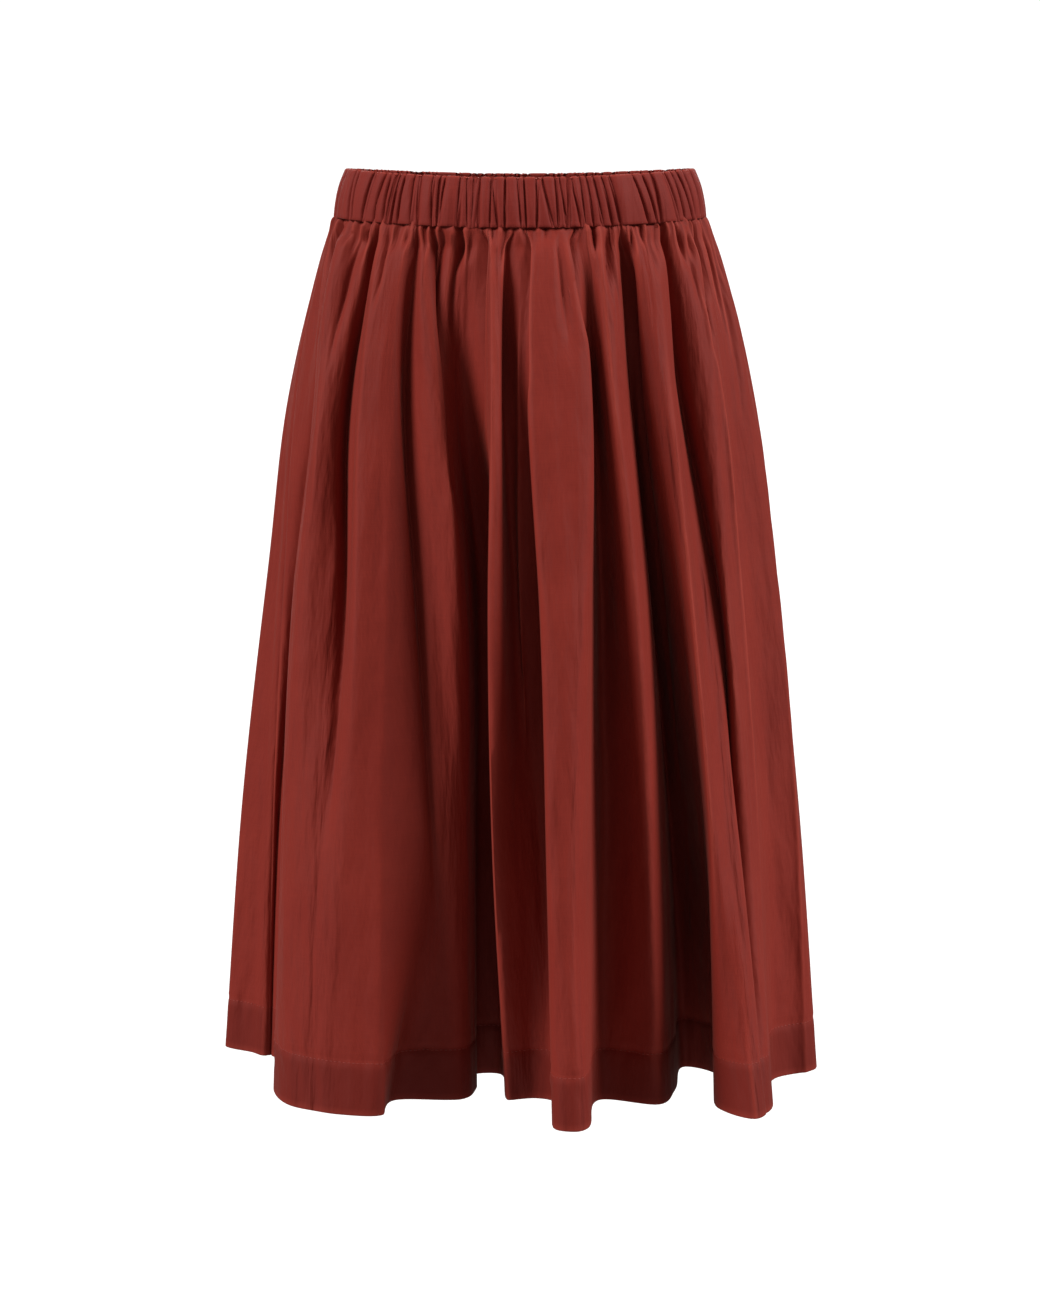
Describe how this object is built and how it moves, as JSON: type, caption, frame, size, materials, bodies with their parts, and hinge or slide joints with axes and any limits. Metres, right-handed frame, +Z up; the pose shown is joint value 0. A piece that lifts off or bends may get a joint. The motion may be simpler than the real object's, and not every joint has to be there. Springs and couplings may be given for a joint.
{
  "type": "gathered midi skirt",
  "caption": "Hollow, filled-out gathered midi skirt: ruched elastic waistband, deep soft folds that fan out to a wide turned-up hem.",
  "frame": {"origin": "centre of the waistband at half its height, where the wearer's waist holds the skirt", "axes": "+Z up along the body, -Y to the front, +X to the right as seen from the front"},
  "size_m": [0.4541, 0.391, 0.6806],
  "materials": {
    "skirt_cloth": "plain-woven cotton in brick red with a faint sheen",
    "waistband_cloth": "the same plain-woven cotton, ruched over wide elastic"
  },
  "bodies": {
    "root": {"front_panel": "skirt_cloth", "back_panel": "skirt_cloth", "waistband_front": "waistband_cloth", "waistband_back": "waistband_cloth"}
  },
  "joints": []
}
